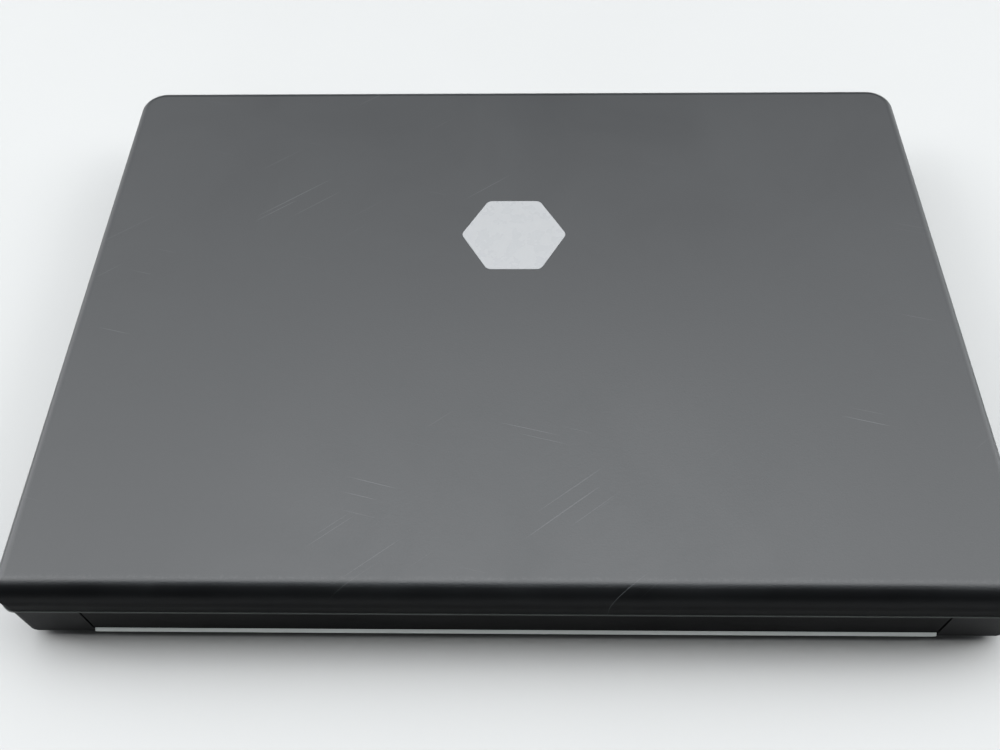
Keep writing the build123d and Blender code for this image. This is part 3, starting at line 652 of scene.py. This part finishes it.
# %% Rows of caps
UNIT = 19.0
BOARD_W = 300.0
GAP = 0.5
KEY_ROWS = {
    "function_keys": [BOARD_W / 17] * 17,
    "number_keys": [UNIT] * 13 + [34, UNIT],
    "upper_letter_keys": [28.5] + [UNIT] * 12 + [24.5, UNIT],
    "home_letter_keys": [33.25] + [UNIT] * 11 + [38.75, UNIT],
    "lower_letter_keys": [42.75] + [UNIT] * 10 + [29.25, UNIT, UNIT],
    "bottom_keys": [24] + [UNIT] * 3 + [105] + [UNIT] * 6,
}
SPACE_INDEX = 4


def row_edges(name):
    """Left and right side of every key in a row, in metres."""
    steps = np.concatenate([[0], np.cumsum(KEY_ROWS[name])]) - BOARD_W / 2
    return [((a + GAP) * MM, (b - GAP) * MM) for a, b in zip(steps[:-1], steps[1:])]


def caps(name, node, keys):
    """One mesh with a cap for every key; a point in the middle closes each dish."""
    low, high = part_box(node)
    points, faces, first = [], [], 0
    for x0, x1 in keys:
        grid = cap_surface(x0, x1, low.y, high.y)
        rows, columns = grid.shape[:2]
        bottom = np.arange(columns)[::-1] + first
        middle = np.array([[(x0 + x1) / 2, (low.y + high.y) / 2, CAP_TOP - DISH]])
        last = np.arange(columns) + first + (rows - 1) * columns
        pole = np.full(columns, first + rows * columns)
        faces += ring_faces(rows, columns, first).tolist() + [bottom.tolist()]
        faces += np.stack([last, np.roll(last, -1), pole], 1).tolist()
        points += [grid.reshape(-1, 3), middle]
        first += rows * columns + 1
    return mesh_piece(name, np.concatenate(points), faces)


# %% [markdown]
# Each row of caps rides on the body of its row and stands for the CAD keys below it. The
# space bar is the fifth key of the bottom row, and it moves on its own.

# %% The caps of every row
key_plastic = moulded("key_black", (0.011, 0.011, 0.012), (0.016, 0.016, 0.017), 0.44, 0.35,
                      0.000012)
BODY_OF = {n: body for body, ns in frame["record"]["behaviour"]["bodies"].items() for n in ns}
for row in list(KEY_ROWS) + ["space_bar"]:
    edges = row_edges("bottom_keys" if row == "space_bar" else row)
    if row == "space_bar":
        edges = [edges[SPACE_INDEX]]
    elif row == "bottom_keys":
        edges = edges[:SPACE_INDEX] + edges[SPACE_INDEX + 1:]
    piece = caps(row + "_caps", row, edges)
    dress(key_plastic, piece.name)
    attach(piece, BODY_OF[row])
    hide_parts(row)
    print(piece.name, "keys", len(edges), "faces", len(piece.data.polygons))

# %% [markdown]
# ## Legends
#
# The letters are printed, so they are thin flat shapes lying in the dish. Blender's own font
# makes each word a filled curve; it becomes a mesh, is scaled to a few millimetres, moved to
# the upper left of its key and dropped onto the dish by the same formula that shaped the cap.

# %% Legends
LEGENDS = {
    "function_keys": ["esc"] + [f"f{i}" for i in range(1, 13)] + ["prt", "ins", "del", "home"],
    "number_keys": list("`1234567890-=") + ["backspace", "end"],
    "upper_letter_keys": ["tab"] + list("QWERTYUIOP[]") + ["\\", "pg up"],
    "home_letter_keys": ["caps lock"] + list("ASDFGHJKL;'") + ["enter", "pg dn"],
    "lower_letter_keys": ["shift"] + list("ZXCVBNM,./") + ["shift", "^", "fn"],
    "bottom_keys": ["ctrl", "fn", "cmd", "alt", "", "alt", "menu", "ctrl", "<", "v", ">"],
}
PRINT_LIFT = 0.02 * MM
LETTER, WORD = 4.2 * MM, 2.7 * MM    # sizes of a single letter and of a word
SMALL_ROW = 0.8                      # the function row is printed smaller
FROM_LEFT = 3.2 * MM
FROM_BACK, SMALL_FROM_BACK = 6.6 * MM, 5.6 * MM


def flat_word(word, height):
    """Points and triangles of a word, its lower left corner at the origin, height in metres."""
    curve = bpy.data.curves.new("word", "FONT")
    curve.body = word
    curve.size = height
    curve.resolution_u = 3
    holder = bpy.data.objects.new("word", curve)
    bpy.context.scene.collection.objects.link(holder)
    made = bpy.data.meshes.new_from_object(holder)
    points = np.empty(3 * len(made.vertices))
    made.vertices.foreach_get("co", points)
    points = points.reshape(-1, 3)
    faces = [list(p.vertices) for p in made.polygons]
    bpy.data.objects.remove(holder)
    bpy.data.curves.remove(curve)
    bpy.data.meshes.remove(made)
    return points, faces


# %% [markdown]
# Now the rows: every word starts at the same distance from the left and back edges of its
# key, and its height above the cap comes from the dish formula, point by point.

# %% The legends of every row
ink = Finish("legend_white", (0.70, 0.71, 0.72), 0.5)
ink.paint(ink.mix(ink.noise(2500, 2.0), (0.60, 0.61, 0.62), (0.78, 0.79, 0.80)))
for row, words in LEGENDS.items():
    low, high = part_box(row)
    small = row == "function_keys"
    line = high.y - (SMALL_FROM_BACK if small else FROM_BACK)
    points, faces, first = [], [], 0
    for word, (x0, x1) in zip(words, row_edges(row)):
        if not word:
            continue
        height = (LETTER if len(word) == 1 else WORD) * (SMALL_ROW if small else 1)
        shape, polygons = flat_word(word, height)
        x = shape[:, 0] + x0 + FROM_LEFT - (x0 + x1) / 2
        y = shape[:, 1] + line - (low.y + high.y) / 2
        z = CAP_TOP + PRINT_LIFT - dish_depth(x, y, x1 - x0, high.y - low.y)
        points.append(np.column_stack([x + (x0 + x1) / 2, y + (low.y + high.y) / 2, z]))
        faces += [[i + first for i in f] for f in polygons]
        first += len(shape)
    piece = mesh_piece("legends_" + row, np.concatenate(points), faces, smooth=False)
    dress(ink, piece.name)
    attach(piece, BODY_OF[row])
print("legend rows", len(LEGENDS))

# %% [markdown]
# ## Printed marks
#
# The power button carries the usual open ring with a bar, and the touchpad a thin line where
# its scroll strip begins. Each is a flat grid with two parameters, laid just above the surface.


# %% Printed marks
def grid_faces(rows, columns):
    """Quads of a rows by columns grid, anticlockwise when columns run round and rows inwards."""
    i, j = np.meshgrid(np.arange(rows - 1), np.arange(columns - 1), indexing="ij")
    quads = np.stack([i * columns + j, i * columns + j + 1, (i + 1) * columns + j + 1,
                      (i + 1) * columns + j], -1)
    return quads.reshape(-1, 4)


def open_ring(x, y, z, outer, inner, gap, steps=40):
    """Points at radius r and angle a: (x + r sin a, y + r cos a, z), a from gap to 360 - gap."""
    angle = np.radians(np.linspace(360 - gap, gap, steps))
    radius = np.array([[outer], [inner]])
    rings = np.stack([x + radius * np.sin(angle), y + radius * np.cos(angle),
                      np.full((2, steps), z)], -1)
    return rings.reshape(-1, 3), grid_faces(2, steps)


def rectangle(x0, x1, y0, y1, z):
    """A 2 by 2 grid between four corners, anticlockwise seen from above."""
    corners = np.array([(x0, y0, z), (x1, y0, z), (x1, y1, z), (x0, y1, z)])
    return corners, np.array([(0, 1, 2, 3)])


def printed(name, shapes, body):
    """Joins flat shapes into one printed piece."""
    starts = np.cumsum([0] + [len(points) for points, _ in shapes[:-1]])
    points = np.concatenate([points for points, _ in shapes])
    faces = [f for start, (_, quads) in zip(starts, shapes) for f in (quads + start).tolist()]
    piece = mesh_piece(name, points, faces, smooth=False)
    dress(ink, name)
    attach(piece, body)
    print(name, "faces", len(faces))


RING_OUT, RING_IN, RING_GAP = 2.3 * MM, 1.9 * MM, 32    # radii, and half the gap in degrees
BAR_HALF, BAR_FROM, BAR_TO = 0.2 * MM, 0.9 * MM, 3.0 * MM
LINE_IN, LINE_W = 13.0 * MM, 0.35 * MM                  # from the pad's right edge; width
LINE_FRONT, LINE_BACK = -101 * MM, -61 * MM

low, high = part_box("power_button")
x, y, z = (low.x + high.x) / 2, (low.y + high.y) / 2, high.z + PRINT_LIFT
bar = rectangle(x - BAR_HALF, x + BAR_HALF, y + BAR_FROM, y + BAR_TO, z)
printed("power_mark", [open_ring(x, y, z, RING_OUT, RING_IN, RING_GAP), bar],
        BODY_OF["power_button"])
low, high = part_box("touchpad")
x, z = high.x - LINE_IN, high.z + PRINT_LIFT
printed("scroll_line", [rectangle(x, x + LINE_W, LINE_FRONT, LINE_BACK, z)], "base")

# %% [markdown]
# ## Contacts in the sockets
#
# A network or telephone socket has springy wires that come out of its ceiling, bend round and
# slope down to the back; a USB socket has four flat strips under its tongue. Each wire is a
# small rectangle carried along a bent path in the XZ plane: at every point of the path the
# section stands square to the direction of travel.


# %% Contacts in the sockets
def wire_along(path, y, width, thickness):
    """Carries a width by thickness section along (x, z) points, in metres, at a given y."""
    path = np.array(path)
    run = np.gradient(path, axis=0)
    run /= np.linalg.norm(run, axis=1, keepdims=True)
    across = np.stack([-run[:, 1], run[:, 0]], 1) * thickness / 2
    rings = []
    for side, half in ((1, 1), (1, -1), (-1, -1), (-1, 1)):
        xz = path + side * across
        rings.append(np.column_stack([xz[:, 0], np.full(len(path), y + half * width / 2),
                                      xz[:, 1]]))
    grid = np.stack(rings, 1)
    count = len(path)
    faces = ring_faces(count, 4, 0).tolist()
    faces += [[3, 2, 1, 0], [4 * count - 4, 4 * count - 3, 4 * count - 2, 4 * count - 1]]
    return grid.reshape(-1, 3), faces


# %% [markdown]
# A path is given as distances in millimetres: how far into the socket, and how far below its
# ceiling. The network socket has eight wires, the telephone socket four, and each of the two
# USB tongues four strips.

# %% Wires and strips
WALL_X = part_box("network_socket")[0].x
SPRING = [(12.0, 0.55), (3.9, 0.55), (3.2, 0.75), (3.0, 1.1), (3.3, 1.5), (4.2, 1.9),
          (11.2, 4.6)]
WIRE_PITCH, WIRE_W, WIRE_T = 1.02 * MM, 0.42 * MM, 0.28 * MM
NETWORK_CEILING, MODEM_CEILING = 17.3 * MM, 15.95 * MM
TONGUE_LOW = (10.37 * MM, 17.37 * MM)           # undersides of the two USB tongues
STRIP_RUN, STRIP_Y = (2.2, 6.0, 12.0), (-3.5, -1.0, 1.0, 3.5)
STRIP_W, STRIP_T, STRIP_DROP = 1.0 * MM, 0.12 * MM, 0.2 * MM


def middle_y(node):
    """Halfway between a node's lowest and highest Y."""
    low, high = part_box(node)
    return (low.y + high.y) / 2


def springs(node, count, ceiling):
    """Spring wires hanging below a socket's ceiling, evenly spaced about its middle."""
    path = [(WALL_X + inwards * MM, ceiling - down * MM) for inwards, down in SPRING]
    places = middle_y(node) + (np.arange(count) - (count - 1) / 2) * WIRE_PITCH
    return [wire_along(path, y, WIRE_W, WIRE_T) for y in places]


def tongue_strips():
    """Four flat strips under the tongue of each USB socket."""
    middle = middle_y("usb_sockets")
    strips = []
    for low_z in TONGUE_LOW:
        path = [(WALL_X + inwards * MM, low_z - STRIP_DROP) for inwards in STRIP_RUN]
        strips += [wire_along(path, middle + y * MM, STRIP_W, STRIP_T) for y in STRIP_Y]
    return strips


wires = springs("network_socket", 8, NETWORK_CEILING)
wires += springs("modem_socket", 4, MODEM_CEILING) + tongue_strips()
starts = np.cumsum([0] + [len(points) for points, _ in wires[:-1]])
contacts = mesh_piece("socket_contacts", np.concatenate([points for points, _ in wires]),
                      [[i + start for i in face] for start, (_, faces) in zip(starts, wires)
                       for face in faces], smooth=False)
dress(gold, "socket_contacts")
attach(contacts, "base")
print("contacts", len(wires))

# %% [markdown]
# ## The floor
#
# A wide sheet of pale matt board. It is marked as a stage, so it isn't counted as part of
# the computer.

# %% Floor
FLOOR_HALF = 12.0
floor_points, floor_faces = rectangle(-FLOOR_HALF, FLOOR_HALF, -FLOOR_HALF, FLOOR_HALF, 0.0)
floor = mesh_piece("floor", floor_points, floor_faces.tolist(), smooth=False)
paper = Finish("pale_table", (0.31, 0.31, 0.305), 0.55, specular=0.2)
paper.paint(paper.mix(paper.noise(6, 3.0), (0.304, 0.304, 0.299), (0.320, 0.320, 0.315)))
floor.data.materials.append(paper.material)
floor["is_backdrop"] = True
print("floor half side, m", FLOOR_HALF)

# %% [markdown]
# ## Sizes
#
# The visible model is meant to stay inside the box of the CAD model, so both boxes are
# printed side by side.

# %% Sizes
low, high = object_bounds()
print("visual box in mm", [round(v / MM, 1) for v in (*low, *high)])
